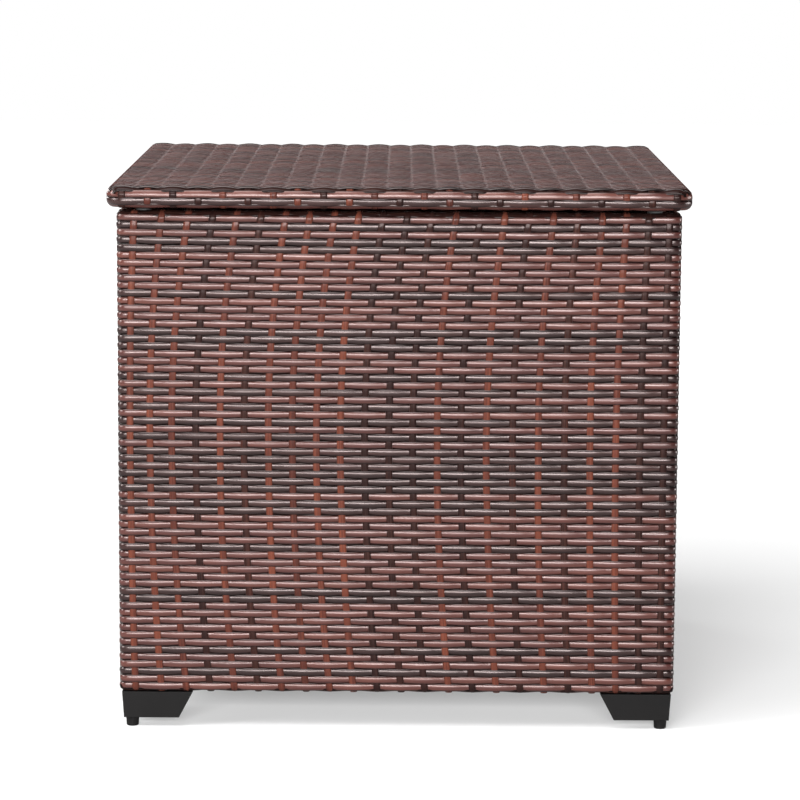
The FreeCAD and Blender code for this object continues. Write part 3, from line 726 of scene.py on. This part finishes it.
def strand_material(name, gloss, colors):
    """Satin polyethylene strand of mixed reddish and dark melt, which streaks lengthwise; its colour
    darkens towards its edges as painted shade of the creases between strands.
    """
    material, tree, shader = new_material(name)
    strand = node(tree, "ShaderNodeAttribute", attribute_name="strand").outputs["Vector"]
    tone = node(tree, "ShaderNodeAttribute", attribute_name="tone").outputs["Fac"]
    slow = noise(tree, stretched(tree, strand, (9.0, 0.25, 1.0)), 1.0, 2.0)
    streak = noise(tree, stretched(tree, strand, (14.0, 2.2, 3.1)), 1.0, 3.0, 0.55)
    fine = noise(tree, stretched(tree, strand, (22.0, 11.0, 5.3)), 1.0, 3.0, 0.6)
    swing = math_node(tree, "MULTIPLY", math_node(tree, "SUBTRACT", slow, 0.5), 0.9)
    side = math_node(tree, "MULTIPLY", math_node(tree, "SUBTRACT", streak, 0.5), 0.75)
    share = math_node(tree, "ADD", math_node(tree, "ADD", tone, swing), side, clamp=True)
    base = ramp(tree, share, colors)
    shade = ramp(tree, fine, [(0.25, (0.70, 0.70, 0.70)), (0.75, (1.25, 1.22, 1.20))])
    split = node(tree, "ShaderNodeSeparateXYZ")
    tree.links.new(strand, split.inputs[0])
    # Painted shade: the base colour darkens towards each strand's edges, where the creases between strands
    # lie in shade.
    outward = math_node(tree, "ABSOLUTE", split.outputs["Y"], 0.0)
    rim = ramp(tree, outward, [(0.5, (1, 1, 1)), (0.92, (0.10, 0.09, 0.09))])
    tinted = mix_color(tree, 1.0, base, shade, "MULTIPLY")
    tree.links.new(mix_color(tree, 1.0, tinted, rim, "MULTIPLY"), shader.inputs["Base Color"])
    shader.inputs["Specular Tint"].default_value = (1.0, 0.85, 0.83, 1.0)
    rough = math_node(tree, "ADD", math_node(tree, "MULTIPLY", streak, 0.14), 0.20)
    tree.links.new(rough, shader.inputs["Roughness"])
    shader.inputs["IOR"].default_value = 1.5
    shader.inputs["Specular IOR Level"].default_value = gloss
    ridges = noise(tree, stretched(tree, strand, (4.0, 7.0, 2.0)), 1.0, 2.0, 0.4)
    tree.links.new(bump(tree, ridges, 0.35, 0.25 * MM), shader.inputs["Normal"])
    return material


def cad_material(name, color, roughness, grain, depth=0.02, edge=0.5, coat=0.0, gloss=0.5):
    """Paint, plastic or rubber: small colour and gloss variation, fine grain, and eased edges."""
    material, tree, shader = new_material(name)
    place = node(tree, "ShaderNodeTexCoord").outputs["Object"]
    broad = noise(tree, place, 18.0, 4.0)
    fine = noise(tree, place, grain, 3.0, 0.6)
    low = tuple(c * 0.85 for c in color)
    high = tuple(c * 1.15 for c in color)
    tree.links.new(ramp(tree, broad, [(0.3, low), (0.7, high)]), shader.inputs["Base Color"])
    spread = math_node(tree, "MULTIPLY", math_node(tree, "SUBTRACT", fine, 0.5), 0.25)
    tree.links.new(math_node(tree, "ADD", spread, roughness, clamp=True), shader.inputs["Roughness"])
    shader.inputs["Coat Weight"].default_value = coat
    shader.inputs["Specular IOR Level"].default_value = gloss
    bevel = node(tree, "ShaderNodeBevel", samples=4)
    bevel.inputs["Radius"].default_value = edge * MM
    tree.links.new(bump(tree, fine, 0.4, depth * MM, bevel.outputs["Normal"]), shader.inputs["Normal"])
    return material


def brushed(name, color, roughness, across):
    """Plated or drawn metal with fine lines along one axis."""
    material, tree, shader = new_material(name)
    place = node(tree, "ShaderNodeTexCoord").outputs["Object"]
    lines = noise(tree, stretched(tree, place, across), 1.0, 3.0, 0.6)
    cloud = noise(tree, place, 60.0, 3.0)
    low = tuple(c * 0.8 for c in color)
    tree.links.new(ramp(tree, cloud, [(0.3, low), (0.7, color)]), shader.inputs["Base Color"])
    rough = math_node(tree, "ADD", math_node(tree, "MULTIPLY", lines, 0.2), roughness)
    tree.links.new(rough, shader.inputs["Roughness"])
    shader.inputs["Metallic"].default_value = 1.0
    tree.links.new(bump(tree, lines, 0.2, 0.01 * MM), shader.inputs["Normal"])
    return material


def dress_frame():
    """Gives every CAD node that stays in view its material."""
    foot = cad_material("foot_plastic", (0.006, 0.0055, 0.0055), 0.45, 1100.0, 0.03, edge=0.9, gloss=0.15)
    made = {
        "frame_paint": cad_material("powder_coat", (0.030, 0.021, 0.018), 0.42, 900.0, 0.05),
        "zinc_steel": brushed("zinc_plate", (0.62, 0.63, 0.66), 0.28, (300, 300, 1200)),
        "floor_plastic": cad_material("floor_sheet", (0.040, 0.034, 0.031), 0.55, 420.0, 0.12),
        "bumper_rubber": cad_material("bumper_rubber", (0.022, 0.022, 0.022), 0.75, 700.0),
        "foot_plastic": foot,
        "hinge_steel": cad_material("hinge_coat", (0.025, 0.024, 0.024), 0.38, 1000.0, 0.03),
        "strut_paint": cad_material("strut_enamel", (0.016, 0.016, 0.018), 0.18, 1500.0, 0.01, coat=0.5),
        "strut_plastic": cad_material("strut_nylon", (0.026, 0.026, 0.027), 0.45, 900.0),
        "rod_chrome": brushed("rod_chrome", (0.75, 0.76, 0.78), 0.06, (20, 900, 900)),
    }
    for part in frame["record"]["subparts"]:
        material = made.get(part["material_slot"])
        if material is None:
            continue
        for slot in frame["nodes"][part["node"]].material_slots:
            slot.material = material


# ---------------------------------------------------------------- studio

def seen_by_camera(tree):
    return node(tree, "ShaderNodeLightPath").outputs["Is Camera Ray"]


def floor_material():
    """Darker for the light that it throws back than for the camera, and whiter with distance."""
    material, tree, shader = new_material("studio_floor")
    place = node(tree, "ShaderNodeTexCoord").outputs["Object"]
    seen = seen_by_camera(tree)
    pale = ramp(tree, noise(tree, place, 2.0), [(0.3, (0.54, 0.54, 0.54)), (0.7, (0.56, 0.56, 0.56))])
    tree.links.new(mix_color(tree, seen, (0.36, 0.36, 0.36), pale), shader.inputs["Base Color"])
    shader.inputs["Roughness"].default_value = 0.8
    shader.inputs["Emission Color"].default_value = (1, 1, 1, 1)
    away = node(tree, "ShaderNodeVectorMath", operation="LENGTH")
    tree.links.new(place, away.inputs[0])
    glow = node(tree, "ShaderNodeMapRange", interpolation_type="SMOOTHSTEP")
    for socket, value in FLOOR_GLOW:
        glow.inputs[socket].default_value = value
    tree.links.new(away.outputs["Value"], glow.inputs["Value"])
    strength = math_node(tree, "MULTIPLY", seen, glow.outputs["Result"])
    tree.links.new(strength, shader.inputs["Emission Strength"])
    return material


def make_floor():
    mesh = bpy.data.meshes.new("floor")
    square = [(-FLOOR, -FLOOR, 0), (FLOOR, -FLOOR, 0), (FLOOR, FLOOR, 0), (-FLOOR, FLOOR, 0)]
    mesh.from_pydata(square, [], [(0, 1, 2, 3)])
    mesh.materials.append(floor_material())
    floor = bpy.data.objects.new("studio_floor", mesh)
    bpy.context.scene.collection.objects.link(floor)


def make_room():
    """White for the camera and dim for the table."""
    world = bpy.data.worlds.new("room")
    bpy.context.scene.world = world
    world.use_nodes = True
    tree = world.node_tree
    sky = tree.nodes["Background"]
    sky.inputs["Color"].default_value = (1, 1, 1, 1)
    added = math_node(tree, "MULTIPLY", seen_by_camera(tree), 1 - ROOM)
    tree.links.new(math_node(tree, "ADD", added, ROOM), sky.inputs["Strength"])


def make_lights():
    for name, at, towards, width, height, power in LIGHTS:
        data = bpy.data.lights.new(name, "AREA")
        data.shape = "RECTANGLE"
        data.size = width
        data.size_y = height
        data.energy = power
        light = bpy.data.objects.new(name, data)
        light.location = at
        light.rotation_mode = "QUATERNION"
        light.rotation_quaternion = (Vector(towards) - Vector(at)).to_track_quat("-Z", "Y")
        bpy.context.scene.collection.objects.link(light)


def make_camera():
    """A long lens in front of the table, which looks down on it a little and rolls slightly."""
    data = bpy.data.cameras.new("camera")
    data.lens = CAMERA_LENS
    data.sensor_width = 36.0
    data.clip_end = 50.0
    camera = bpy.data.objects.new("camera", data)
    across = math.cos(CAMERA_PITCH)
    ahead = Vector((math.sin(CAMERA_YAW) * across, math.cos(CAMERA_YAW) * across, -math.sin(CAMERA_PITCH)))
    level = Vector((math.cos(CAMERA_YAW), -math.sin(CAMERA_YAW), 0))
    upright = level.cross(ahead)
    right = level * math.cos(CAMERA_ROLL) + upright * math.sin(CAMERA_ROLL)
    up = right.cross(ahead)
    turn = Matrix((right, up, -ahead)).transposed().to_4x4()
    camera.matrix_world = Matrix.Translation(CAMERA_PLACE) @ turn
    bpy.context.scene.collection.objects.link(camera)
    bpy.context.scene.camera = camera


make_floor()
make_room()
make_lights()
make_camera()
bpy.context.scene.view_settings.view_transform = "Standard"
row_material = strand_material("rattan_row", 0.5, ROW_COLORS)
stake_material = strand_material("rattan_stake", 0.14, STAKE_COLORS)
make_panels(row_material, stake_material)
Lid().make(row_material, stake_material)
dress_frame()
